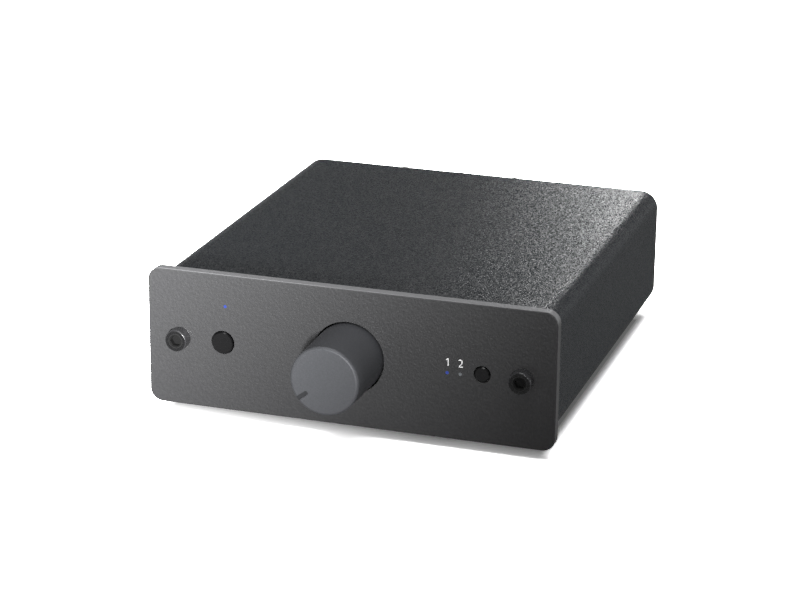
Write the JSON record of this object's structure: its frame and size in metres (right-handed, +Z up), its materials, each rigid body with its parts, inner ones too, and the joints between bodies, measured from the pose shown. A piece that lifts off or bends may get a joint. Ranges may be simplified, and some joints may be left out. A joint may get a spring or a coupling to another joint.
{
  "type": "phono preamp",
  "caption": "Small rounded sleeve-case phono preamp with a projecting gain knob, push buttons and pinhole lights in front, phono sockets and a ground terminal behind.",
  "frame": {"origin": "under the middle of the whole part, on the surface that its feet stand on", "axes": "+X to the right seen from the front, +Y from the front panel to the rear sockets, +Z up"},
  "size_m": [0.103, 0.136, 0.037],
  "materials": {
    "sand_textured_powder_coat": "fine-texture black powder coat on sheet steel",
    "satin_panel_coat": "satin black fine orange-peel coat on aluminium",
    "rubber": "moulded black rubber",
    "black_oxide_steel": "black oxide",
    "zinc_steel": "bright zinc plate",
    "board_laminate": "glass-epoxy laminate with green solder mask",
    "black_plastic": "moulded",
    "button_plastic": "fine satin moulding",
    "anodised_aluminium": "turned and black anodised",
    "brown_phenolic": "punched phenolic sheet",
    "white_plastic": "moulded",
    "red_plastic": "moulded",
    "clear_acrylic": "clear moulded acrylic",
    "nickel_plate": "nickel plate",
    "brass_contact": "plated spring brass",
    "can_sleeve": "shrink sleeve on an aluminium can",
    "ferrite": "ferrite core"
  },
  "bodies": {
    "chassis": {"case_sleeve": "sand_textured_powder_coat", "front_panel": "satin_panel_coat", "rear_panel": "sand_textured_powder_coat", "feet": "rubber", "front_panel_screws": "black_oxide_steel", "rear_panel_screws": "black_oxide_steel", "front_brackets": "zinc_steel", "rear_brackets": "zinc_steel", "board_screws": "zinc_steel", "main_board": "board_laminate", "front_board": "board_laminate", "board_header": "black_plastic", "gain_pot_tracks": "brown_phenolic", "gain_pot_case": "black_plastic", "power_switch_case": "black_plastic", "selector_switch_case": "black_plastic", "power_led": "white_plastic", "input_leds": "white_plastic", "power_light_guide": "clear_acrylic", "input_light_guide_1": "clear_acrylic", "input_light_guide_2": "clear_acrylic", "phono_in_housing": "black_plastic", "line_in_housing": "black_plastic", "line_out_housing": "black_plastic", "socket_shells": "nickel_plate", "socket_contacts": "brass_contact", "left_insulators": "white_plastic", "right_insulators": "red_plastic", "ground_stud": "nickel_plate", "ground_tag": "brass_contact", "ground_inner_nut": "nickel_plate", "dc_inlet_case": "black_plastic", "dc_inlet_pin": "nickel_plate", "usb_shell": "nickel_plate", "usb_insert": "black_plastic", "film_capacitors": "red_plastic", "op_amps": "black_plastic", "relays": "white_plastic", "usb_chip": "black_plastic", "converter_chip": "black_plastic", "crystal": "nickel_plate", "filter_capacitors": "can_sleeve", "regulators": "black_plastic", "inductor": "ferrite"},
    "gain_knob": {"gain_knob": "anodised_aluminium", "gain_pot_shaft": "zinc_steel", "gain_pot_wipers": "black_plastic"},
    "power_button": {"power_button_cap": "button_plastic", "power_switch_plunger": "white_plastic"},
    "selector_button": {"selector_button_cap": "button_plastic", "selector_switch_plunger": "white_plastic"},
    "ground_washer": {"ground_washer": "nickel_plate"},
    "ground_nut": {"ground_thumb_nut": "nickel_plate"}
  },
  "joints": [
    {"name": "gain_turn", "type": "hinge", "parent": "chassis", "child": "gain_knob", "pos_m": [0, -0.05095, 0.0197], "axis": [0, 1, 0], "range_deg": [-13, 267]},
    {"name": "power_press", "type": "slide", "parent": "chassis", "child": "power_button", "axis": [0, 1, 0], "range_m": [-0.0018, 0.0007]},
    {"name": "selector_press", "type": "slide", "parent": "chassis", "child": "selector_button", "axis": [0, 1, 0], "range_m": [0, 0.0004], "stiffness_N_per_m": 1000},
    {"name": "ground_washer_slide", "type": "slide", "parent": "chassis", "child": "ground_washer", "axis": [0, 1, 0], "range_m": [0, 0.0021]},
    {"name": "ground_nut_turn", "type": "hinge", "parent": "ground_washer", "child": "ground_nut", "pos_m": [-0.0362, 0.06105, 0.016], "axis": [0, 1, 0], "range_deg": [0, 1081]}
  ],
  "couplings": [
    {"joint": "ground_nut_turn", "follows": "ground_washer_slide", "rad_per_m": 8976}
  ]
}
